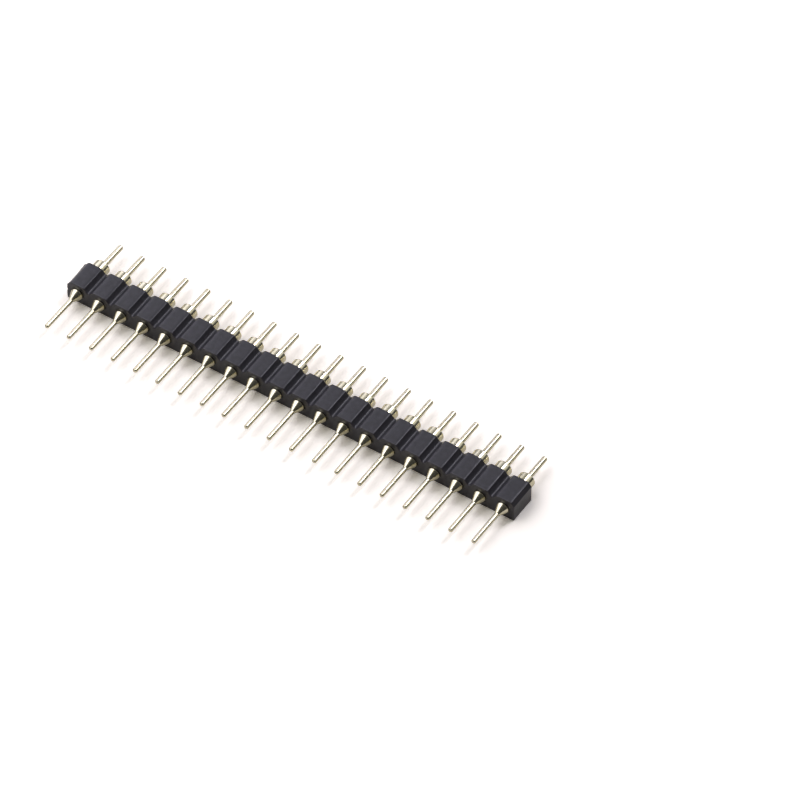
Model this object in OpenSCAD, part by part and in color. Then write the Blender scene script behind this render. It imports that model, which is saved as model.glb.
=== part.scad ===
// Machined-pin header strip, male on both sides, 2.54 mm pitch.
// A moulded insulator holds one row of turned pins. The strip lies flat: the pins run
// along Y, the row along X, and the underside of the insulator is at Z = 0.
// The left end was snapped off a longer strip; the right end is a clean moulded end.

/* [Strip] */
// Number of pins, and so of insulator cells
pin_count = 20; // [2:1:40]
// Distance from one pin to the next
pitch = 2.54; // [2.2:0.01:3.2]

/* [Insulator] */
// Height of the insulator, underside to top
body_h = 2.4; // [2.2:0.05:3.2]
// Depth of the insulator along the pins
body_d = 3.08; // [1.8:0.01:6]
// Width of a snap groove at its mouth, edges not counted; the grooves cross the top only
groove_w = 1.07; // [0.7:0.01:1.1]
// Slope of the groove's flanks, from level
groove_slope = 50; // [40:1:60]
// Radius at the bottom of a groove
groove_floor_r = 0.2; // [0.05:0.01:0.24]
// Radius of the wide round edges of a groove's mouth
groove_edge_r = 0.55; // [0.1:0.01:0.55]
// Extra length of the last cell, at the clean end
end_extra = 0.09; // [0:0.01:0.2]
// Distance of the clean end face from the middle of that cell's groove
end_trim = 0.16; // [0:0.01:0.4]

/* [Snapped end] */
// Break line at the back corner, measured from the middle of the groove
snap_back = 0.05; // [0:0.01:0.4]
// Break line near the front corner, measured from the middle of the groove
snap_front = 0.24; // [0.1:0.01:0.5]
// How far the burr at the front corner stands out from the break line
burr_out = 0.16; // [0:0.01:0.3]
// Length of that burr along the break
burr_len = 0.22; // [0.1:0.01:0.5]
// Height of the teeth along the break line
tooth_h = 0.035; // [0.005:0.005:0.08]
// Distance between those teeth
tooth_pitch = 0.24; // [0.12:0.01:0.6]

/* [Pin, tail side] */
// Diameter of the thin tail
tail_dia = 0.48; // [0.3:0.01:0.8]
// Length of the tail outside the insulator, shoulder and cone included
tail_len = 5.11; // [2.5:0.01:12]
// Length of the straight shoulder outside the insulator
shoulder_len = 0.12; // [0.02:0.01:0.6]
// Length of the cone from the shoulder down to the tail
cone_len = 0.92; // [0.3:0.01:1.4]

/* [Pin, collar side] */
// Diameter of the collar
collar_dia = 1.7; // [1.62:0.01:2.1]
// Length of the collar, which stands on the insulator's face
collar_len = 1.12; // [0.3:0.01:2]
// Edge break around the collar's outer face
collar_edge = 0.04; // [0.01:0.01:0.15]
// Diameter of the post
post_dia = 0.57; // [0.3:0.01:0.9]
// Length of the post, collar not included
post_len = 3.06; // [1.5:0.01:12]

/* [Pin, both sides] */
// Diameter of the shank that fills the insulator's bore
shank_dia = 1.34; // [1:0.01:1.4]
// Chamfer at both tips
tip_chamfer = 0.1; // [0.02:0.01:0.14]
// Height of the retaining ring on the shank
ring_h = 0.06; // [0.02:0.01:0.08]
// Length of the retaining ring, sloped towards the tail
ring_len = 0.5; // [0.2:0.01:0.8]

/* [Fit] */
// Gap between the pin and the insulator, all round
fit_gap = 0.02; // [0.01:0.005:0.04]

/* [Hidden] */
function pin_name(i) = str("pin_", i < 10 ? "0" : "", i);
$fn = 64;

half_row = pin_count * pitch / 2;
half_d = body_d / 2;
pin_z = body_h / 2;
bore_r = shank_dia / 2 + fit_gap;

// the groove is a V whose bottom is rounded and whose mouth edges are eased
vee_depth = groove_w / 2 * tan(groove_slope);
floor_z = -vee_depth + groove_floor_r / cos(groove_slope);
edge_back = groove_edge_r * tan(groove_slope / 2);

// break line of the snapped end, from the back corner to the burr at the front corner
tooth_count = max(2, floor((body_d - burr_len) / tooth_pitch));
function tooth(k) = tooth_h * (k % 2 == 0 ? 1 : -1) * (0.6 + 0.4 * sin(137.5 * k));
function snap_x(t) = snap_back + (snap_front - snap_back) * t - half_row;
snap_line = concat(
    [for (k = [0 : tooth_count])
        let (t = k / tooth_count)
        [snap_x(t) + tooth(k), half_d - t * (body_d - burr_len)]],
    [[snap_x(1) - burr_out, burr_len * 0.3 - half_d], [snap_x(1) - burr_out, -half_d]]);

// the origin is under the middle of the whole strip, pins included
left_x = min([for (p = snap_line) p[0]]);
right_x = half_row + end_extra - end_trim;
mid_x = (left_x + right_x) / 2;
mid_y = (post_len + collar_len - tail_len) / 2;
function pin_x(i) = (i - (pin_count + 1) / 2) * pitch;

function arc(x, z, r, from, to, steps) =
    [for (k = [0 : steps]) let (a = from + (to - from) * k / steps) [x + r * cos(a), z + r * sin(a)]];

// right half of one snap groove, from the middle of its floor up to the eased edge
groove_half = concat(
    arc(0, floor_z, groove_floor_r, -90, groove_slope - 90, 5),
    arc(groove_w / 2 + edge_back, -groove_edge_r, groove_edge_r, 90 + groove_slope, 90, 8));

// section of the groove, cut down from the level of the surface
module groove_section() {
    mouth_x = groove_w / 2 + edge_back;
    last = len(groove_half) - 1;
    polygon(concat(groove_half, [[mouth_x, 0.3], [-mouth_x, 0.3]],
                   [for (k = [last : -1 : 1]) [-groove_half[k][0], groove_half[k][1]]]));
}

module strip_section() {
    difference() {
        translate([left_x - 0.1, 0]) square([right_x - left_x + 0.1, body_h]);
        for (i = [0 : pin_count])
            translate([i * pitch - half_row + (i < pin_count ? 0 : end_extra), body_h]) groove_section();
    }
}

// the piece that broke away with the next strip
module broken_away() {
    far = half_row + pitch;
    translate([0, 0, -1]) linear_extrude(body_h + 2)
        polygon(concat([[-far, half_d + 1], [snap_line[0][0], half_d + 1]], snap_line,
                       [[snap_x(1) - burr_out, -half_d - 1], [-far, -half_d - 1]]));
}

// cut for one pin: the bore, and the hollow that the retaining ring sits in
module bore() {
    rotate([90, 0, 0]) {
        cylinder(r = bore_r, h = body_d + 2, center = true);
        cylinder(r = bore_r + ring_h, h = ring_len + 2 * fit_gap, center = true);
    }
}

module insulator() {
    color([0.24, 0.235, 0.25]) translate([-mid_x, -mid_y, 0]) difference() {
        translate([0, half_d, 0]) rotate([90, 0, 0]) linear_extrude(body_d) strip_section();
        broken_away();
        for (i = [1 : pin_count]) translate([pin_x(i), 0, pin_z]) bore();
    }
}

// one turned pin; its profile is given as [distance along the axis, radius],
// from the tip of the tail to the tip of the post
module pin(i) {
    shank_r = shank_dia / 2;
    tail_r = tail_dia / 2;
    post_r = post_dia / 2;
    collar_r = collar_dia / 2;
    tail_tip = -half_d - tail_len;
    cone_end = -half_d - shoulder_len - cone_len;
    collar_end = half_d + collar_len;
    post_tip = collar_end + post_len;
    profile = [
        [tail_tip, 0], [tail_tip, tail_r - tip_chamfer], [tail_tip + tip_chamfer, tail_r],
        [cone_end, tail_r], [-half_d - shoulder_len, shank_r],
        [-ring_len / 2, shank_r], [ring_len / 2, shank_r + ring_h], [ring_len / 2, shank_r],
        [half_d, shank_r], [half_d, collar_r],
        [collar_end - collar_edge, collar_r], [collar_end, collar_r - collar_edge],
        [collar_end, post_r], [post_tip - tip_chamfer, post_r],
        [post_tip, post_r - tip_chamfer], [post_tip, 0]];
    color([0.86, 0.79, 0.58]) translate([pin_x(i) - mid_x, -mid_y, pin_z]) rotate([-90, 0, 0])
        rotate_extrude() polygon([for (p = profile) [p[1], p[0]]]);
}

insulator();
for (i = [1 : pin_count]) pin(i);
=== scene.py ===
# %% [markdown]
# # A machined-pin header strip
#
# Twenty turned, gold-flashed brass pins stand in one row, 2.54 mm apart, and a black moulded
# insulator holds them. Between two pins a V-shaped snap groove crosses the top of the insulator, so
# that a strip can be broken to length by hand.
#
# The strip is 50 mm long and 2.4 mm high. Each step below first says what the thing is and why it
# is made the way it is, and then makes it and prints what it measured.

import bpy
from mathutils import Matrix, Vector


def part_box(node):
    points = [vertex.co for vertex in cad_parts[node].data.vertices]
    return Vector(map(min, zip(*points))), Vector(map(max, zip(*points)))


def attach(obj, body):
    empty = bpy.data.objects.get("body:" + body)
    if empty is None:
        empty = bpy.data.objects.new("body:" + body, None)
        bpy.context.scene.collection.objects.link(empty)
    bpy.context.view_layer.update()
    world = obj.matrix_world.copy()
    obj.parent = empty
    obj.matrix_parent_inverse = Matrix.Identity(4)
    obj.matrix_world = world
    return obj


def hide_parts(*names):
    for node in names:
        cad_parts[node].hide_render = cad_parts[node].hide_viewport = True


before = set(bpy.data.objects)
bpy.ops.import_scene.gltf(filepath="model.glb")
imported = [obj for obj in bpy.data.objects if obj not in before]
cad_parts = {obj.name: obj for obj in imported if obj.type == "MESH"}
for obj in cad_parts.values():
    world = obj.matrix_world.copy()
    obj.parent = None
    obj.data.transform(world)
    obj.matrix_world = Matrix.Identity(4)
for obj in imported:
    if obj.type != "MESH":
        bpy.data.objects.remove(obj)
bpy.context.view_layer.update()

import math

import bmesh
import bpy
from mathutils import Vector, noise

MM = 0.001  # the scene is in metres, and every size below is written in millimetres

# %% [markdown]
# ## Helpers
#
# Blender's shaders and Geometry Nodes are both trees of nodes, so one small function that adds a
# node, sets its values and links its inputs serves for every tree. Colours are written as sRGB hex
# values, as a colour picker shows them, and shaders want linear light, so one function turns them.

# %% Helpers for nodes and colours
def add_node(tree, kind, inputs=None, **settings):
    """Adds a node. An input's value is a plain value or another node's output socket."""
    made = tree.nodes.new(kind)
    for name, value in settings.items():
        setattr(made, name, value)
    for key, value in (inputs or {}).items():
        if isinstance(value, bpy.types.NodeSocket):
            tree.links.new(value, made.inputs[key])
        else:
            made.inputs[key].default_value = value
    return made


def linear(hex_colour):
    """'#rrggbb' in sRGB, as the linear RGBA that a shader wants."""
    channels = [int(hex_colour[i:i + 2], 16) / 255 for i in (1, 3, 5)]
    return tuple(c / 12.92 if c <= 0.04045 else ((c + 0.055) / 1.055) ** 2.4
                 for c in channels) + (1.0,)


def new_material(name):
    """An empty node material, with its tree."""
    material = bpy.data.materials.new(name)
    material.use_nodes = True
    material.node_tree.nodes.clear()
    return material, material.node_tree


def object_from(name, mesh):
    made = bpy.data.objects.new(name, mesh)
    bpy.context.scene.collection.objects.link(made)
    return made


# %% [markdown]
# ## Camera
#
# A long lens from two thirds of a metre away gives a small part the flat perspective of a view
# from far off. The camera stands to the right of the row and about 49 degrees up, and looks down
# on the tails. It aims past the strip, which so sits in the left half of the frame.

# %% Camera
VIEW_AZIMUTH, VIEW_ELEVATION = math.radians(33.333), math.radians(49.295)
CAMERA_DISTANCE = 678.04 * MM
FOCAL_LENGTH, SENSOR_WIDTH = 323.3, 36      # of the camera, in millimetres
NEAREST = 0.01                              # metres; nothing closer to the camera is drawn
AIM = Vector((8.262, 5.654, -0.178)) * MM
to_camera = Vector((math.sin(VIEW_AZIMUTH) * math.cos(VIEW_ELEVATION),
                    -math.cos(VIEW_AZIMUTH) * math.cos(VIEW_ELEVATION),
                    math.sin(VIEW_ELEVATION)))

camera = object_from("camera", bpy.data.cameras.new("camera"))
camera.data.lens = FOCAL_LENGTH
camera.data.sensor_width = SENSOR_WIDTH
camera.data.clip_start = NEAREST
camera.location = AIM + to_camera * CAMERA_DISTANCE
camera.rotation_mode = "QUATERNION"
camera.rotation_quaternion = (-to_camera).to_track_quat("-Z", "Y")
bpy.context.scene.camera = camera
bpy.context.scene.view_settings.view_transform = "Standard"
print("camera at", [round(value, 3) for value in camera.location])

# %% [markdown]
# ## Light
#
# Polished metal shows its surroundings, so the lamps are also what the pins are "painted" with. A
# large soft box stands high on the left, and a small, bright one hangs behind the strip. The dark
# gap between them gives the dark stripe along each pin, and the bright one draws the thin light
# line in each groove. A faint one on the right fills the right side of the collars. The last one
# stands in front and lightens the shadow there; pins that lie along Y turn their reflections
# towards the back and hardly show it. A lamp's power comes from the radiance that it should show:
# an area A of radiance L gives pi * A * L watts.

# %% Lamps
LAMP_DISTANCE = 0.60    # metres from the strip, as the lamps' sizes are
PLAIN, COOL = (1.0, 1.0, 1.0), (0.96, 0.95, 1.10)


def soft_box(name, direction, width, height, radiance, colour):
    """A rectangular area lamp that faces the origin and shows the given radiance."""
    lamp = bpy.data.lights.new(name, "AREA")
    lamp.color = colour
    lamp.shape = "RECTANGLE"
    lamp.size, lamp.size_y = width, height
    lamp.energy = math.pi * width * height * radiance
    made = object_from(name, lamp)
    towards = Vector(direction).normalized()
    made.location = towards * LAMP_DISTANCE
    made.rotation_euler = towards.to_track_quat("Z", "Y").to_euler()
    made.visible_camera = False
    print(name, "gives", round(lamp.energy, 2), "watts")


soft_box("soft_box_left", (-0.70, 0.12, 0.70), 0.62, 0.76, 1.62, COOL)
soft_box("soft_box_behind", (0.22, 0.56, 0.80), 0.13, 0.20, 10.5, COOL)
soft_box("soft_box_right", (0.50, 0.56, 0.66), 0.22, 0.40, 0.60, PLAIN)
soft_box("soft_box_front", (-0.36, -0.56, 0.75), 0.50, 0.50, 1.5, PLAIN)

# %% [markdown]
# The room round the lamps is dim, and dimmest in front, where the camera and the person behind it
# stand. The world's colour follows the direction alone, so it stays in place when the camera
# moves. A ray straight from the camera sees plain white instead, which is the white background.

# %% World
def maths(tree, operation, *values):
    """A Math node on plain values or sockets. Returns its output socket."""
    return add_node(tree, "ShaderNodeMath", dict(enumerate(values)), operation=operation).outputs[0]


def soft_step(tree, value, low, high):
    """Goes softly from 0, where the value is low, to 1, where it is high."""
    return add_node(tree, "ShaderNodeMapRange", {"Value": value, "From Min": low, "From Max": high},
                    interpolation_type="SMOOTHSTEP").outputs["Result"]


ROOM_DARK, ROOM_LIGHT = 0.04, 0.26
FRONT_Y, BACK_Y = -0.4, 0.3     # the room gets lighter between these two, from front to back,
LOW_Z, HIGH_Z = 0.2, 0.6        # and between these two, from low to high
world = bpy.data.worlds.new("studio")
bpy.context.scene.world = world
world.use_nodes = True
tree = world.node_tree
tree.nodes.clear()
way = add_node(tree, "ShaderNodeTexCoord")
split = add_node(tree, "ShaderNodeSeparateXYZ", {0: way.outputs["Generated"]})
behind = soft_step(tree, split.outputs["Y"], FRONT_Y, BACK_Y)
above = soft_step(tree, split.outputs["Z"], LOW_Z, HIGH_Z)
level = add_node(tree, "ShaderNodeMapRange", {"Value": maths(tree, "MULTIPLY", behind, above),
                                              "To Min": ROOM_DARK, "To Max": ROOM_LIGHT})
rays = add_node(tree, "ShaderNodeLightPath")
room = add_node(tree, "ShaderNodeBackground",
                {"Color": linear("#ffffff"), "Strength": level.outputs["Result"]})
seen = add_node(tree, "ShaderNodeBackground", {"Color": linear("#ffffff"), "Strength": 1.0})
either = add_node(tree, "ShaderNodeMixShader",
                  {0: rays.outputs["Is Camera Ray"], 1: room.outputs[0], 2: seen.outputs[0]})
add_node(tree, "ShaderNodeOutputWorld", {"Surface": either.outputs[0]})
print("the room's light goes from", ROOM_DARK, "in front to", ROOM_LIGHT, "above and behind")

# %% [markdown]
# ## Floor
#
# The strip lies on a white sheet, which is exposed a little past white, so only the deeper shadow
# close to the strip shows. The brighter colour is for rays from the camera alone, and the light
# that the sheet throws back on the strip stays that of white paper. Far from the strip a plain
# white takes over, and the sheet meets the background without an edge.

# %% Floor
def mixed(tree, factor, first, second):
    """A colour between two others. Returns its output socket."""
    return add_node(tree, "ShaderNodeMix", {"Factor": factor, "A": first, "B": second},
                    data_type="RGBA").outputs["Result"]


FLOOR_HALF = 0.6                    # metres, as the two distances in the next line are
FADE_START, FADE_END = 0.07, 0.16   # how far from the middle the sheet turns into plain white
SHEET = linear("#f1ece2")
OVEREXPOSED = 1.62                  # how much brighter the camera sees the sheet
SHEET_SEEN = tuple(OVEREXPOSED * channel for channel in SHEET[:3]) + (1.0,)

mesh = bpy.data.meshes.new("floor")
mesh.from_pydata([(-FLOOR_HALF, -FLOOR_HALF, 0), (FLOOR_HALF, -FLOOR_HALF, 0),
                  (FLOOR_HALF, FLOOR_HALF, 0), (-FLOOR_HALF, FLOOR_HALF, 0)], [], [(0, 1, 2, 3)])
floor = object_from("floor", mesh)
paper, tree = new_material("matt_white_paper")
place = add_node(tree, "ShaderNodeTexCoord")
away = add_node(tree, "ShaderNodeVectorMath", {0: place.outputs["Object"]}, operation="LENGTH")
far = soft_step(tree, away.outputs["Value"], FADE_START, FADE_END)
rays = add_node(tree, "ShaderNodeLightPath")
mirrored = maths(tree, "MAXIMUM",
                 rays.outputs["Is Glossy Ray"], rays.outputs["Is Transmission Ray"])
shown = maths(tree, "MAXIMUM", rays.outputs["Is Camera Ray"], mirrored)
colour = mixed(tree, rays.outputs["Is Camera Ray"], SHEET, SHEET_SEEN)
lit = add_node(tree, "ShaderNodeBsdfDiffuse", {"Color": colour})
white = add_node(tree, "ShaderNodeEmission", {"Color": linear("#ffffff"), "Strength": 1.0})
both = add_node(tree, "ShaderNodeMixShader",
                {0: maths(tree, "MULTIPLY", shown, far), 1: lit.outputs[0], 2: white.outputs[0]})
add_node(tree, "ShaderNodeOutputMaterial", {"Surface": both.outputs[0]})
floor.data.materials.append(paper)
print("the floor is", 2 * FLOOR_HALF, "m wide")

# %% [markdown]
# ## Sizes
#
# The places come from the frame: the pins' own boxes give the pitch, the height of the row and
# both tips, and the insulator's box gives its height and its two faces. The sizes inside a piece,
# such as the slope of a groove, repeat the part's own, in millimetres.

# %% Sizes from the frame
pin_nodes = sorted(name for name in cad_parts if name.startswith("pin_"))
body_low, body_high = [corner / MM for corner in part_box("insulator")]
pin_boxes = [[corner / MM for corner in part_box(name)] for name in pin_nodes]
pin_places = [(low + high) / 2 for low, high in pin_boxes]
PIN_COUNT = len(pin_nodes)
PITCH = (pin_places[-1].x - pin_places[0].x) / (PIN_COUNT - 1)
BODY_H = body_high.z - body_low.z
BODY_D = body_high.y - body_low.y
BODY_MID_Y = (body_high.y + body_low.y) / 2
PIN_Z = pin_places[0].z
TAIL_TIP = pin_boxes[0][0].y - BODY_MID_Y   # along the pin, from the middle of the insulator
POST_TIP = pin_boxes[0][1].y - BODY_MID_Y
print("pins", PIN_COUNT, "pitch", round(PITCH, 3), "body", round(BODY_D, 3), "x", round(BODY_H, 3),
      "tips at", round(TAIL_TIP, 3), round(POST_TIP, 3))

# %% Sizes of the insulator and of a pin, in millimetres
GROOVE_W, GROOVE_SLOPE = 1.07, math.radians(50)
GROOVE_FLOOR_R, GROOVE_EDGE_R = 0.20, 0.55
END_EXTRA, END_TRIM = 0.09, 0.16     # the last cell is longer, and is cut short of its groove
SNAP_BACK, SNAP_FRONT = 0.05, 0.24
BURR_OUT, BURR_LEN = 0.16, 0.22
FIT_GAP = 0.02       # between a pin and the insulator
BORE_R, BORE_EASE = 0.69, 0.03
RING_H, RING_HALF = 0.06, 0.25
FACE_EASE = 0.07     # radius round the front and the back of the insulator
HOLD = 0.03          # distance from a rounded edge to the loop that keeps the flat beside it flat
TAIL_R, POST_R, SHANK_R, COLLAR_R = 0.24, 0.285, 0.67, 0.85
SHOULDER_LEN, CONE_LEN, COLLAR_LEN = 0.12, 0.92, 1.12
TIP_CHAMFER, COLLAR_EDGE = 0.10, 0.04

# %% [markdown]
# ## Black insulator: the plastic
#
# The insulator is a black polyester filled with short glass fibre, injection moulded. The glass
# leaves the skin satin, not glossy, and faintly uneven: the eye sees a very dark grey with a cool
# cast, with soft clouds a few tenths of a millimetre across. Noise in Object coordinates gives the
# clouds and the grain, since the surface has no direction of its own.

# %% Noise for both materials
def noise_value(tree, size, detail):
    """Noise in Object coordinates whose spots are about this many metres across."""
    place = add_node(tree, "ShaderNodeTexCoord")
    made = add_node(tree, "ShaderNodeTexNoise",
                    {"Vector": place.outputs["Object"], "Scale": 1 / size, "Detail": detail})
    return made.outputs["Fac"]


def spread(tree, value, low=0.0, high=1.0):
    """Noise keeps near its middle, so its usual range is stretched to go from low to high."""
    return add_node(tree, "ShaderNodeMapRange", {"Value": value, "From Min": 0.3, "From Max": 0.7,
                                                 "To Min": low, "To Max": high}).outputs["Result"]


# %% Moulded plastic
CLOUD_SIZE, GRAIN_SIZE, CLOUD_HEIGHT = 0.45 * MM, 0.07 * MM, 0.018 * MM
PLASTIC_IOR, UNEVEN = 1.55, 0.06    # UNEVEN is how far the roughness strays from its middle


def plastic(name, dark, light, roughness, grain_height):
    """Glass-filled black polyester; the height of its grain is in millimetres."""
    material, tree = new_material(name)
    clouds, grains = noise_value(tree, CLOUD_SIZE, 3.0), noise_value(tree, GRAIN_SIZE, 2.0)
    waves = add_node(tree, "ShaderNodeBump",
                     {"Height": clouds, "Strength": 1.0, "Distance": CLOUD_HEIGHT})
    relief = add_node(tree, "ShaderNodeBump",
                      {"Height": grains, "Strength": 1.0, "Distance": grain_height * MM,
                       "Normal": waves.outputs[0]})
    skin = add_node(tree, "ShaderNodeBsdfPrincipled",
                    {"Base Color": mixed(tree, spread(tree, clouds), linear(dark), linear(light)),
                     "Roughness": spread(tree, grains, roughness - UNEVEN, roughness + UNEVEN),
                     "Normal": relief.outputs[0], "IOR": PLASTIC_IOR})
    add_node(tree, "ShaderNodeOutputMaterial", {"Surface": skin.outputs[0]})
    print(name, "roughness", roughness, "grain", grain_height, "mm")
    return material


moulded = plastic("moulded_glass_filled_polyester", "#201e22", "#2b292f", 0.35, 0.006)
fractured = plastic("fractured_glass_filled_polyester", "#2a292b", "#3b393c", 0.65, 0.03)

# %% [markdown]
# ## Pins: the metal
#
# The pins are turned from brass rod on a lathe and flashed with a very thin coat of gold, which
# looks paler than solid gold. A lathe leaves fine rings round the axis. Each point of a pin knows
# how far along the turned profile it lies, from an attribute named lathe, so the rings run
# round the cylinders and in circles on the flat faces alike.

# %% Turned metal
RINGS_PER_MM, RING_HEIGHT, BLOT_SIZE = 14.0, 0.0004 * MM, 0.8 * MM
PIN_SHIFT = 31.7        # moves the noise on from pin to pin, so that no two have the same rings
METAL_SMOOTH, METAL_ROUGH = 0.14, 0.24

gilt, tree = new_material("gold_flashed_turned_brass")
along = add_node(tree, "ShaderNodeAttribute", attribute_name="lathe")
which = add_node(tree, "ShaderNodeAttribute", attribute_name="pin_number")
shift = maths(tree, "MULTIPLY_ADD", which.outputs["Fac"], PIN_SHIFT, along.outputs["Fac"])
rings = add_node(tree, "ShaderNodeTexNoise", {"W": shift, "Scale": RINGS_PER_MM, "Detail": 3.0},
                 noise_dimensions="1D").outputs["Fac"]
blots = noise_value(tree, BLOT_SIZE, 2.0)
colour = mixed(tree, spread(tree, blots), linear("#d0c9aa"), linear("#dbd5bd"))
relief = add_node(tree, "ShaderNodeBump",
                  {"Height": rings, "Strength": 1.0, "Distance": RING_HEIGHT})
metal = add_node(tree, "ShaderNodeBsdfPrincipled",
                 {"Base Color": colour, "Metallic": 1.0,
                  "Roughness": spread(tree, rings, METAL_SMOOTH, METAL_ROUGH),
                  "Normal": relief.outputs[0]})
add_node(tree, "ShaderNodeOutputMaterial", {"Surface": metal.outputs[0]})
print(gilt.name, "roughness", METAL_SMOOTH, "to", METAL_ROUGH)

# %% [markdown]
# ## The section of the insulator
#
# Seen from the front, one cell of the insulator runs from the middle of one snap groove to the
# middle of the next. Half a groove is an arc for its floor, a straight flank and the edge of its
# mouth, which is a tight arc out of the flank and then a wide, faint roll-off to the top. The
# outline of the upper side is two such halves with the flat top between them. The underside is
# flat, so that the strip lies flat.

# %% Outline of one cell
def arc(x, z, radius, start, end, steps):
    return [(x + radius * math.cos(a), z + radius * math.sin(a))
            for a in (start + (end - start) * k / steps for k in range(steps + 1))]


FLOOR_CENTRE = -GROOVE_W / 2 * math.tan(GROOVE_SLOPE) + GROOVE_FLOOR_R / math.cos(GROOVE_SLOPE)
MOUTH_X = GROOVE_W / 2 + GROOVE_EDGE_R * math.tan(GROOVE_SLOPE / 2)
floor_arc = arc(0, FLOOR_CENTRE, GROOVE_FLOOR_R, -math.pi / 2, GROOVE_SLOPE - math.pi / 2, 6)
# the tight arc drops by rise, the roll-off by the rest, and the flank starts where both have ended
ROLL_PAST, ROLL_ANGLE, TIGHT_R = 0.06, math.radians(12), 0.12
roll_end = MOUTH_X + ROLL_PAST
tight = arc(0, 0, TIGHT_R, math.pi / 2 + GROOVE_SLOPE, math.pi / 2 + ROLL_ANGLE, 4)
run, rise = tight[-1][0] - tight[0][0], tight[-1][1] - tight[0][1]
roll_r = ((roll_end - GROOVE_W / 2 + rise / math.tan(GROOVE_SLOPE) - run)
          / (math.sin(ROLL_ANGLE) - (1 - math.cos(ROLL_ANGLE)) / math.tan(GROOVE_SLOPE)))
drop = roll_r * (1 - math.cos(ROLL_ANGLE)) + rise
flank_x = GROOVE_W / 2 - drop / math.tan(GROOVE_SLOPE)
edge_arc = [(x - tight[0][0] + flank_x, z - tight[0][1] - drop) for x, z in tight]
edge_arc += arc(roll_end, -roll_r, roll_r, math.pi / 2 + ROLL_ANGLE, math.pi / 2, 4)[1:]
print("roll-off radius", round(roll_r, 3), "flank starts at", [round(v, 3) for v in edge_arc[0]])
groove_depth = -floor_arc[0][1]
print("groove", round(2 * MOUTH_X, 3), "wide with its edges,", round(groove_depth, 3), "deep")

# %% [markdown]
# Two more helpers work on an outline. One adds points that hold the shading of the long stretches,
# and the other makes the outline a little smaller, which the rounded faces need.

# %% Helpers for outlines
def with_holds(points):
    """Adds a point just inside each end of a long straight stretch, to keep its shading flat."""
    made = [points[0]]
    for (x0, z0), (x1, z1) in zip(points, points[1:]):
        length = math.hypot(x1 - x0, z1 - z0)
        if length > 4 * HOLD:
            for t in (HOLD / length, 1 - HOLD / length):
                made.append((x0 + (x1 - x0) * t, z0 + (z1 - z0) * t))
        made.append((x1, z1))
    return made


def inset(points, distance):
    """Moves an outline into the material, which lies to the right of its direction."""
    made = []
    for k, (x, z) in enumerate(points):
        sides = []
        for a, b in ((k - 1, k), (k, k + 1)):
            if a >= 0 and b < len(points):
                dx, dz = points[b][0] - points[a][0], points[b][1] - points[a][1]
                length = math.hypot(dx, dz)
                sides.append((dz / length, -dx / length))
        if k in (0, len(points) - 1):       # the ends lie on a plane of symmetry
            sides = [(0.0, math.copysign(1.0, sides[0][1]))] * 2
        nx, nz = sides[0][0] + sides[1][0], sides[0][1] + sides[1][1]
        scale = 2 * distance / (nx * nx + nz * nz)
        made.append((x + nx * scale, z + nz * scale))
    return made


# %% Both sides of a whole cell
UNDER_STEPS = 10


def under(y, distance, left=-PITCH / 2):
    """The flat underside, from right to left, so that the two sides run round the section."""
    return [(PITCH / 2 + (left - PITCH / 2) * k / UNDER_STEPS, distance)
            for k in range(UNDER_STEPS + 1)]


right_half = floor_arc + edge_arc
upper_plain = [(x - PITCH / 2, BODY_H + z) for x, z in right_half]
upper_plain += [(PITCH / 2 - x, BODY_H + z) for x, z in reversed(right_half)]
upper = with_holds(upper_plain)
print("points in the outline of a cell:", len(upper) + UNDER_STEPS + 1)

# %% [markdown]
# The right end of the strip is a clean moulded face just short of the middle of a groove. Its
# outline runs over the top and down the groove's flank, turns a small corner, and goes down the
# end face and back along the underside.

# %% Outline of the clean end
FLANK_CORNER_R, FOOT_CORNER_R = 0.08, 0.06
end_x = PITCH / 2 + END_EXTRA - END_TRIM
flank_end = BODY_H - (GROOVE_W / 2 - END_TRIM) * math.tan(GROOVE_SLOPE)
turn = math.pi / 2 - GROOVE_SLOPE
end_outline = with_holds(
    [(x + (END_EXTRA if x > 0 else 0), z) for x, z in upper_plain
     if x < PITCH / 2 - END_TRIM - FLANK_CORNER_R]
    + arc(end_x - FLANK_CORNER_R, flank_end - FLANK_CORNER_R * math.tan(turn / 2),
          FLANK_CORNER_R, turn, 0, 4)
    + arc(end_x - FOOT_CORNER_R, FOOT_CORNER_R, FOOT_CORNER_R, 0, -math.pi / 2, 4)
    + [(-PITCH / 2, 0.0)])
print("points in the outline of the clean end:", len(end_outline))

# %% [markdown]
# ## Levels
#
# The section is swept from the front face to the back face. Moulded edges are never sharp, so the
# outline starts a little smaller on each face and swells to full size round a quarter circle. A
# level is a place along Y with the inset of the outline there.

# %% Levels along the depth
half_d = BODY_D / 2
ease = [(FACE_EASE * (1 - math.cos(math.radians(t))), FACE_EASE * (1 - math.sin(math.radians(t))))
        for t in (0, 30, 60, 90)]
front_levels = [(-half_d + y, d) for y, d in ease] + [(-half_d + FACE_EASE + HOLD, 0.0)]
back_levels = [(-y, d) for y, d in reversed(front_levels)]
STRAIGHT_STEPS = 22
start, stop = front_levels[-1][0], back_levels[0][0]
middle_levels = [(start + (stop - start) * k / STRAIGHT_STEPS, 0.0)
                 for k in range(1, STRAIGHT_STEPS)]
levels = front_levels + middle_levels + back_levels
print("levels along the depth:", len(levels))

# %% [markdown]
# ## The snapped end
#
# The left end was broken off a longer strip by hand. The break starts low in the groove, runs
# askew across the depth, is finely toothed, and leaves a small burr at the front corner. Perlin
# noise roughens the face of the break, most in the middle, where the web tore last.

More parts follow.
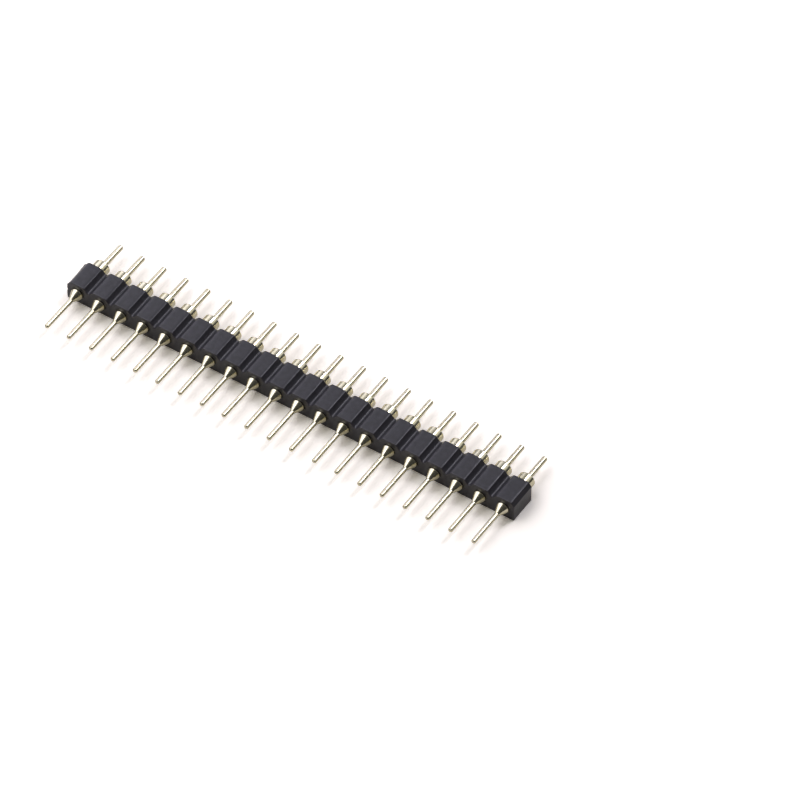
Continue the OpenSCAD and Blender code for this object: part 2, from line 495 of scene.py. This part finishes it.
# %% Line of the break
TOOTH_H, TOOTH_PITCH, TOOTH_TURN = 0.035, 0.24, 137.5     # each tooth has a height of its own
ROUGH_EDGE, ROUGH_MIDDLE = 0.012, 0.07      # height of the noise, in millimetres
WAVES_ALONG, WAVES_DOWN = 5, 9              # of the noise, to a millimetre and to the height
NOISE_SLICE = 3.7                           # another value gives another break
teeth = int((BODY_D - BURR_LEN) / TOOTH_PITCH)
break_line = []
for k in range(teeth + 1):
    t = k / teeth
    tooth = (TOOTH_H * (1 if k % 2 == 0 else -1)
             * (0.6 + 0.4 * math.sin(math.radians(TOOTH_TURN * k))))
    break_line.append((half_d - t * (BODY_D - BURR_LEN),
                       SNAP_BACK + (SNAP_FRONT - SNAP_BACK) * t + tooth))
break_line += [(-half_d + 0.3 * BURR_LEN, SNAP_FRONT - BURR_OUT), (-half_d, SNAP_FRONT - BURR_OUT)]
break_low = min(x for _, x in break_line)


def break_x(y, down):
    """X of the break from the middle of its groove; down is 0 at the top edge, 1 at the bottom."""
    line = 0.0
    for (y0, x0), (y1, x1) in zip(break_line, break_line[1:]):
        if y1 <= y <= y0:
            line = x0 + (x1 - x0) * (y0 - y) / (y0 - y1)
    place = Vector((y * WAVES_ALONG, down * WAVES_DOWN, NOISE_SLICE))
    # three octaves, each half as high and twice as fine as the one before
    rough = noise.fractal(place, 1.0, 2.0, 3)
    return max(break_low, line + rough * (ROUGH_EDGE + ROUGH_MIDDLE * math.sin(math.pi * down)))


def groove_z(x, distance):
    """Height of the groove's surface at x from the groove's middle, moved in by distance."""
    floor_r = GROOVE_FLOOR_R + distance
    if x < floor_r * math.sin(GROOVE_SLOPE):
        return BODY_H + FLOOR_CENTRE - math.sqrt(floor_r ** 2 - x ** 2)
    return BODY_H + (x - GROOVE_W / 2) * math.tan(GROOVE_SLOPE) - distance / math.cos(GROOVE_SLOPE)


print("break line from", [round(v, 3) for v in break_line[0]],
      "to", [round(v, 3) for v in break_line[-1]])

# %% [markdown]
# The snapped cell's outline starts where the break cuts the groove, so it differs from level to
# level. Three functions give its upper side, its underside and the column of points down the face
# of the break, and each column has as many points as the next, so that quads can join them.

# %% Outline and face of the snapped cell
edge_first = len(floor_arc)     # the place in the plain outline where the mouth's edge begins
GROOVE_STEPS, BREAK_STEPS = 8, 12


def snapped_side(y, distance):
    """The upper outline of the snapped cell: it starts low in the groove, where the break is."""
    start = break_x(y, 0)
    mouth = inset(upper, distance)[upper.index(upper_plain[edge_first]):]
    step = (mouth[0][0] + PITCH / 2 - start) / GROOVE_STEPS
    groove = [start + step * k for k in range(GROOVE_STEPS)]
    return [(x - PITCH / 2, groove_z(x, distance)) for x in groove] + mouth


def snapped_under(y, distance):
    return under(y, distance, break_x(y, 1) - PITCH / 2)


def break_column(y, distance, with_ends=True):
    """Points down the face of the break at one level, from the upper outline to the lower."""
    top_x, foot_x = break_x(y, 0), break_x(y, 1)
    top, foot = groove_z(top_x, distance + HOLD), distance + HOLD
    inner = []
    for k in range(1, BREAK_STEPS):
        down = k / BREAK_STEPS
        inner.append((break_x(y, down) - PITCH / 2, top + (foot - top) * down))
    if not with_ends:
        return inner
    left, right = top_x - PITCH / 2, foot_x - PITCH / 2
    return ([(left, groove_z(top_x, distance)), (left, top)] + inner
            + [(right, foot), (right, distance)])


print("points down the face of the break:", len(break_column(0.0, 0.0)))

# %% [markdown]
# ## Building a cell
#
# A cell's mesh is made in bmesh, because it must be one closed skin with a real hole in it. Rings
# of points at each level are joined with quads, which keeps the long surfaces regular. On the two
# faces a fan of triangles joins the outline to the round hole. The two sides that meet the next
# cell stay open, and the welding later closes them.

# %% Rings of points
def sweep(bm, rings, closed=False):
    """Quads between rings of points in millimetres. Returns the rings' vertices."""
    rows = [[bm.verts.new(Vector(point) * MM) for point in ring] for ring in rings]
    for low, high in zip(rows, rows[1:]):
        for k in range(len(low) if closed else len(low) - 1):
            n = (k + 1) % len(low)
            bm.faces.new((low[k], low[n], high[n], high[k]))
    return rows


def circle(y, radius, steps, z=0.0):
    angles = [2 * math.pi * k / steps for k in range(steps)]
    return [(radius * math.cos(a), y, z + radius * math.sin(a)) for a in angles]


def at_level(points, y):
    return [(x, y, z) for x, z in points]


# %% [markdown]
# The outline and the hole have different numbers of points at different angles. A zipper closes
# the gap between them: it walks round both loops at once, and each triangle takes its third point
# from the loop whose next point comes first.

# %% Zipper
def zipper(bm, outer, inner):
    """Triangles between two loops of vertices that both run anticlockwise round the pin's axis."""
    def angle(vert):
        return math.atan2(vert.co.z / MM - PIN_Z, vert.co.x / MM)
    first = angle(outer[0])
    turns = [(angle(vert) - first) % (2 * math.pi) for vert in inner]
    start = min(range(len(inner)), key=lambda k: min(turns[k], 2 * math.pi - turns[k]))
    inner = inner[start:] + inner[:start]
    ahead = [[(angle(vert) - first) % (2 * math.pi) for vert in loop[1:]] + [2 * math.pi, math.inf]
             for loop in (outer, inner)]
    i = j = 0
    while i < len(outer) or j < len(inner):
        a, b = outer[i % len(outer)], inner[j % len(inner)]
        if ahead[0][i] <= ahead[1][j]:
            i += 1
            bm.faces.new((a, outer[i % len(outer)], b))
        else:
            j += 1
            bm.faces.new((a, inner[j % len(inner)], b))


# %% [markdown]
# The bore is a profile too, swept round the pin's axis. It is eased at both faces, and halfway it
# has the hollow that the pin's retaining ring sits in.

# %% Bore and sides
SIDE_STEPS, BORE_STEPS = 6, 40
hollow = RING_HALF + FIT_GAP
BORE_PROFILE = [
    (-half_d, BORE_R + BORE_EASE), (-half_d + 0.3 * BORE_EASE, BORE_R + 0.3 * BORE_EASE),
    (-half_d + BORE_EASE, BORE_R), (-half_d + BORE_EASE + HOLD, BORE_R),
    (-hollow, BORE_R), (-hollow, BORE_R + RING_H), (hollow, BORE_R + RING_H), (hollow, BORE_R),
    (half_d - BORE_EASE, BORE_R), (half_d, BORE_R + BORE_EASE)]


def straight_side(y, distance, start, end):
    """Points between two outlines, on the plane where cells meet, which is alike at all levels."""
    return [(start[0], start[1] + (end[1] - start[1]) * k / SIDE_STEPS)
            for k in range(1, SIDE_STEPS)]


print("bore", round(2 * BORE_R, 3), "across, hollow", round(2 * hollow, 3), "long")

# %% Cell builder
CELL_WELD, ROW_WELD = 0.0002 * MM, 0.0005 * MM      # points closer than this become one


def cell(name, outlines, sides, extra=()):
    """A cell centred on its pin: outlines and sides alternate clockwise round the section."""
    bm = bmesh.new()
    for outline in outlines:
        sweep(bm, [at_level(outline(y, d), y) for y, d in levels])
    for y, d in (levels[0], levels[-1]):
        held = [outline(y, d + HOLD) for outline in outlines]
        loop = []
        for k, outline in enumerate(outlines):
            sweep(bm, [at_level(outline(y, d), y), at_level(held[k], y)])
            loop += held[k] + sides[k](y, d, held[k][-1], held[(k + 1) % len(held)][0])
        loop = [bm.verts.new(Vector(point) * MM) for point in at_level(reversed(loop), y)]
        hole = [bm.verts.new(Vector(point) * MM)
                for point in circle(y, BORE_R + BORE_EASE, BORE_STEPS, PIN_Z)]
        zipper(bm, loop, hole)
    sweep(bm, [circle(y, radius, BORE_STEPS, PIN_Z) for y, radius in BORE_PROFILE], closed=True)
    marks = bm.faces.layers.bool.new("fracture")
    whole = len(bm.faces)
    for rings in extra:
        sweep(bm, rings)
    bm.faces.ensure_lookup_table()
    for face in bm.faces[whole:]:
        face[marks] = True
    bmesh.ops.remove_doubles(bm, verts=bm.verts, dist=CELL_WELD)
    mesh = bpy.data.meshes.new(name)
    bm.to_mesh(mesh)
    bm.free()
    print(name, "faces", len(mesh.polygons))
    return object_from(name, mesh)


# %% The three kinds of cell
def torn_side(y, distance, start, end):
    """The points down the break, from the lower outline to the upper."""
    return list(reversed(break_column(y, distance, with_ends=False)))


whole_cell = cell("whole_cell", [lambda y, d: inset(upper, d), under],
                  [straight_side, straight_side])
clean_cell = cell("clean_cell", [lambda y, d: inset(end_outline, d)], [straight_side])
snapped_cell = cell("snapped_cell", [snapped_side, snapped_under], [straight_side, torn_side],
                    extra=[[at_level(break_column(y, d), y) for y, d in levels]])

# %% [markdown]
# ## Repeating the cells
#
# The insulator follows a rule, one whole cell on the pitch between two special ends, so Geometry
# Nodes repeat it. A line of points carries the whole cells, the ends are moved to their places,
# and Merge by Distance welds the open sides so that the strip is one skin. Changing the number of
# cells in the modifier gives a longer or shorter strip.

# %% Helper for Geometry Nodes
def new_tree(name, inputs):
    """A geometry tree with named inputs. Returns the tree, its input node and its output node."""
    tree = bpy.data.node_groups.new(name, "GeometryNodeTree")
    for label, kind in inputs:
        tree.interface.new_socket(name=label, in_out="INPUT", socket_type=kind)
    tree.interface.new_socket(name="Geometry", in_out="OUTPUT", socket_type="NodeSocketGeometry")
    return tree, add_node(tree, "NodeGroupInput"), add_node(tree, "NodeGroupOutput")


def grown(name, tree, values):
    """Runs a geometry tree and keeps its result as a plain mesh."""
    holder = object_from(name, bpy.data.meshes.new(name + "_seed"))
    modifier = holder.modifiers.new(tree.name, "NODES")
    modifier.node_group = tree
    for item in tree.interface.items_tree:
        if item.in_out == "INPUT":
            modifier[item.identifier] = values[item.name]
    graph = bpy.context.evaluated_depsgraph_get()
    mesh = bpy.data.meshes.new_from_object(holder.evaluated_get(graph),
                                           preserve_all_data_layers=True, depsgraph=graph)
    holder.modifiers.remove(modifier)
    holder.data = mesh
    mesh.name = name
    return holder


# %% Tree of the insulator
tree, given, result = new_tree("insulator_cells", [
    ("Whole cell", "NodeSocketObject"), ("Snapped cell", "NodeSocketObject"),
    ("Clean cell", "NodeSocketObject"), ("Cells", "NodeSocketInt"),
    ("First cell", "NodeSocketVector"), ("Pitch", "NodeSocketVector"),
    ("Weld distance", "NodeSocketFloat"), ("Moulded", "NodeSocketMaterial"),
    ("Fractured", "NodeSocketMaterial")])
second = add_node(tree, "ShaderNodeVectorMath",
                  {0: given.outputs["First cell"], 1: given.outputs["Pitch"]}, operation="ADD")
inner_cells = maths(tree, "SUBTRACT", given.outputs["Cells"], 2.0)
line = add_node(tree, "GeometryNodeMeshLine", {"Count": inner_cells,
                                               "Start Location": second.outputs[0],
                                               "Offset": given.outputs["Pitch"]})
whole = add_node(tree, "GeometryNodeObjectInfo", {"Object": given.outputs["Whole cell"]})
cells = add_node(tree, "GeometryNodeInstanceOnPoints",
                 {"Points": line.outputs[0], "Instance": whole.outputs["Geometry"]})
snapped = add_node(tree, "GeometryNodeObjectInfo", {"Object": given.outputs["Snapped cell"]})
snapped_at = add_node(tree, "GeometryNodeTransform", {"Geometry": snapped.outputs["Geometry"],
                                                      "Translation": given.outputs["First cell"]})
clean = add_node(tree, "GeometryNodeObjectInfo", {"Object": given.outputs["Clean cell"]})
pitches = maths(tree, "SUBTRACT", given.outputs["Cells"], 1.0)
to_last = add_node(tree, "ShaderNodeVectorMath",
                   {0: given.outputs["Pitch"], "Scale": pitches}, operation="SCALE")
last = add_node(tree, "ShaderNodeVectorMath",
                {0: given.outputs["First cell"], 1: to_last.outputs[0]}, operation="ADD")
clean_at = add_node(tree, "GeometryNodeTransform", {"Geometry": clean.outputs["Geometry"],
                                                    "Translation": last.outputs[0]})
row = add_node(tree, "GeometryNodeJoinGeometry")
for part in (cells.outputs[0], snapped_at.outputs[0], clean_at.outputs[0]):
    tree.links.new(part, row.inputs[0])
real = add_node(tree, "GeometryNodeRealizeInstances", {"Geometry": row.outputs[0]})
welded = add_node(tree, "GeometryNodeMergeByDistance",
                  {"Geometry": real.outputs[0], "Distance": given.outputs["Weld distance"]})
coated = add_node(tree, "GeometryNodeSetMaterial",
                  {"Geometry": welded.outputs[0], "Material": given.outputs["Moulded"]})
broken = add_node(tree, "GeometryNodeInputNamedAttribute", {"Name": "fracture"},
                  data_type="BOOLEAN")
finished = add_node(tree, "GeometryNodeSetMaterial",
                    {"Geometry": coated.outputs[0], "Selection": broken.outputs["Attribute"],
                     "Material": given.outputs["Fractured"]})
tree.links.new(finished.outputs[0], result.inputs[0])
print(tree.name, "has", len(tree.nodes), "nodes")


# %% Shading of a finished mesh
def finish_mesh(piece, crease):
    """Turns all faces outwards, and shades smooth up to the crease angle, in degrees."""
    bm = bmesh.new()
    bm.from_mesh(piece.data)
    bmesh.ops.recalc_face_normals(bm, faces=bm.faces)
    open_edges = sum(1 for edge in bm.edges if len(edge.link_faces) != 2)
    volume = bm.calc_volume(signed=True)
    bm.to_mesh(piece.data)
    bm.free()
    piece.data.shade_smooth()
    piece.data.set_sharp_from_angle(angle=math.radians(crease))
    triangles = sum(len(face.vertices) - 2 for face in piece.data.polygons)
    print(piece.name, "triangles", triangles, "edges without two faces", open_edges,
          "volume mm3", round(volume / MM ** 3, 2))


# %% The insulator
insulator = grown("insulator_moulding", tree, {
    "Whole cell": whole_cell, "Snapped cell": snapped_cell, "Clean cell": clean_cell,
    "Cells": PIN_COUNT, "First cell": Vector((pin_places[0].x, BODY_MID_Y, body_low.z)) * MM,
    "Pitch": Vector((PITCH, 0, 0)) * MM, "Weld distance": ROW_WELD,
    "Moulded": moulded, "Fractured": fractured})
finish_mesh(insulator, crease=40)
for template in (whole_cell, snapped_cell, clean_cell):
    bpy.data.objects.remove(template)

# %% [markdown]
# ## The turned pin
#
# A lathe can only make round shapes, so a pin is one profile spun round its axis: a thin tail, a
# cone up to the shoulder, the shank that fills the bore with its retaining ring, a stout collar
# that seats on the insulator, and the post. Every corner of the profile is eased by a few
# hundredths of a millimetre, which gives the edges their bright line.

# %% Profile of a pin
PIN_HOLD = 0.02         # distance from an eased corner to the point that holds its shading
MOST_OF_A_SIDE = 0.45   # how much of a short side its corner's easing may take


def eased(corners, steps=3):
    """Rounds the corners of a profile of (along, radius, easing), with a hold beside each one."""
    made = []
    for k, (y, r, ease_by) in enumerate(corners):
        if not ease_by:
            made.append(Vector((y, r)))
            continue
        here = Vector((y, r))
        before = Vector(corners[k - 1][:2]) - here
        after = Vector(corners[k + 1][:2]) - here
        ends = []
        for side in (before, after):
            cut = min(ease_by, MOST_OF_A_SIDE * side.length)
            held = side.length > 3 * cut + 2 * PIN_HOLD
            ends.append((here + side.normalized() * cut,
                         here + side.normalized() * (cut + PIN_HOLD) if held else None))
        if ends[0][1] is not None:
            made.append(ends[0][1])
        for n in range(steps + 1):
            t = n / steps
            made.append(ends[0][0] * (1 - t) ** 2 + here * 2 * t * (1 - t) + ends[1][0] * t ** 2)
        if ends[1][1] is not None:
            made.append(ends[1][1])
    return made


cone_end = -half_d - SHOULDER_LEN - CONE_LEN
collar_end = half_d + COLLAR_LEN
TIP_CLEAR = 0.004     # keeps a leaning pin inside the length of an upright one
corners = [
    (TAIL_TIP + TIP_CLEAR, 0.0, 0), (TAIL_TIP + TIP_CLEAR, TAIL_R - TIP_CHAMFER, 0.03),
    (TAIL_TIP + TIP_CHAMFER, TAIL_R, 0.03), (cone_end, TAIL_R, 0.05),
    (-half_d - SHOULDER_LEN, SHANK_R, 0.03), (-RING_HALF, SHANK_R, 0.01),
    (RING_HALF, SHANK_R + RING_H, 0.01), (RING_HALF, SHANK_R, 0.01),
    (half_d, SHANK_R, 0.01), (half_d, COLLAR_R, 0.02),
    (collar_end - COLLAR_EDGE, COLLAR_R, 0.015), (collar_end, COLLAR_R - COLLAR_EDGE, 0.015),
    (collar_end, POST_R, 0.02), (POST_TIP - TIP_CHAMFER, POST_R, 0.03),
    (POST_TIP - TIP_CLEAR, POST_R - TIP_CHAMFER, 0.03), (POST_TIP - TIP_CLEAR, 0.0, 0)]
profile = eased(corners)
print("profile points:", len(profile), "length", round(profile[-1].x - profile[0].x, 3))

# %% Spin the profile
PIN_STEPS = 40
bm = bmesh.new()
along = bm.verts.layers.float.new("lathe")
rows = sweep(bm, [circle(p.x, p.y, PIN_STEPS) for p in profile[1:-1]], closed=True)
for row, end in ((rows[0], profile[0]), (rows[-1], profile[-1])):
    tip = bm.verts.new(Vector((0, end.x, 0)) * MM)
    for k in range(PIN_STEPS):
        bm.faces.new((row[k], row[(k + 1) % PIN_STEPS], tip))
travelled = 0.0
for k, row in enumerate(rows):
    travelled += (profile[k + 1] - profile[k]).length
    for vert in row:
        vert[along] = travelled
for vert in bm.verts:
    if len(vert.link_edges) == PIN_STEPS and vert.co.y > 0:
        vert[along] = travelled + POST_R
bmesh.ops.recalc_face_normals(bm, faces=bm.faces)
mesh = bpy.data.meshes.new("turned_pin")
bm.to_mesh(mesh)
bm.free()
turned_pin = object_from("turned_pin", mesh)
print("turned pin faces", len(mesh.polygons))

# %% [markdown]
# ## Repeating the pins
#
# The pins stand on the same pitch as the cells. A pin has two hundredths of a millimetre of play
# in its bore, so each one leans a fraction of a degree its own way and is turned about its axis at
# random. All of them were pressed in a little askew as well, with their posts towards the clean
# end. The seed is fixed, so they always lean alike.

# %% Tree of the pins
tree, given, result = new_tree("row_of_pins", [
    ("Pin", "NodeSocketObject"), ("Pins", "NodeSocketInt"), ("First pin", "NodeSocketVector"),
    ("Pitch", "NodeSocketVector"), ("Lean", "NodeSocketFloat"), ("Askew", "NodeSocketFloat"),
    ("Seed", "NodeSocketInt"), ("Metal", "NodeSocketMaterial")])
line = add_node(tree, "GeometryNodeMeshLine", {"Count": given.outputs["Pins"],
                                               "Start Location": given.outputs["First pin"],
                                               "Offset": given.outputs["Pitch"]})
negative = maths(tree, "MULTIPLY", given.outputs["Lean"], -1.0)
least = add_node(tree, "ShaderNodeCombineXYZ", {"X": negative, "Y": 0.0, "Z": negative})
most = add_node(tree, "ShaderNodeCombineXYZ", {"X": given.outputs["Lean"], "Y": 2 * math.pi,
                                               "Z": given.outputs["Lean"]})
lean = add_node(tree, "FunctionNodeRandomValue", {"Seed": given.outputs["Seed"]},
                data_type="FLOAT_VECTOR")
tree.links.new(least.outputs[0], lean.inputs["Min"])
tree.links.new(most.outputs[0], lean.inputs["Max"])
one = add_node(tree, "GeometryNodeObjectInfo", {"Object": given.outputs["Pin"]})
askew = add_node(tree, "ShaderNodeCombineXYZ", {"Z": given.outputs["Askew"]})
both = add_node(tree, "ShaderNodeVectorMath", {0: lean.outputs["Value"], 1: askew.outputs[0]},
                operation="ADD")
turned = add_node(tree, "FunctionNodeEulerToRotation", {"Euler": both.outputs[0]})
pins = add_node(tree, "GeometryNodeInstanceOnPoints",
                {"Points": line.outputs[0], "Instance": one.outputs["Geometry"],
                 "Rotation": turned.outputs[0]})
index = add_node(tree, "GeometryNodeInputIndex")
numbered = add_node(tree, "GeometryNodeStoreNamedAttribute",
                    {"Geometry": pins.outputs[0], "Name": "pin_number", "Value": index.outputs[0]},
                    data_type="FLOAT", domain="INSTANCE")
real = add_node(tree, "GeometryNodeRealizeInstances", {"Geometry": numbered.outputs[0]})
coated = add_node(tree, "GeometryNodeSetMaterial",
                  {"Geometry": real.outputs[0], "Material": given.outputs["Metal"]})
tree.links.new(coated.outputs[0], result.inputs[0])
print(tree.name, "has", len(tree.nodes), "nodes")

# %% The pins
LEAN, ASKEW, LEAN_SEED = math.radians(0.25), math.radians(-0.45), 4
pins = grown("turned_pins", tree, {
    "Pin": turned_pin, "Pins": PIN_COUNT, "Pitch": Vector((PITCH, 0, 0)) * MM,
    "First pin": Vector((pin_places[0].x, BODY_MID_Y, PIN_Z)) * MM,
    "Lean": LEAN, "Askew": ASKEW, "Seed": LEAN_SEED, "Metal": gilt})
finish_mesh(pins, crease=35)
bpy.data.objects.remove(turned_pin)

# %% [markdown]
# ## Into the frame
#
# Each piece rides on the part's one body, and the CAD nodes that it stands for are hidden.

# %% Ride and replace
for piece, slot, nodes in ((insulator, "insulator", ["insulator"]), (pins, "pin", pin_nodes)):
    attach(piece, "root")
    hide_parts(*nodes)
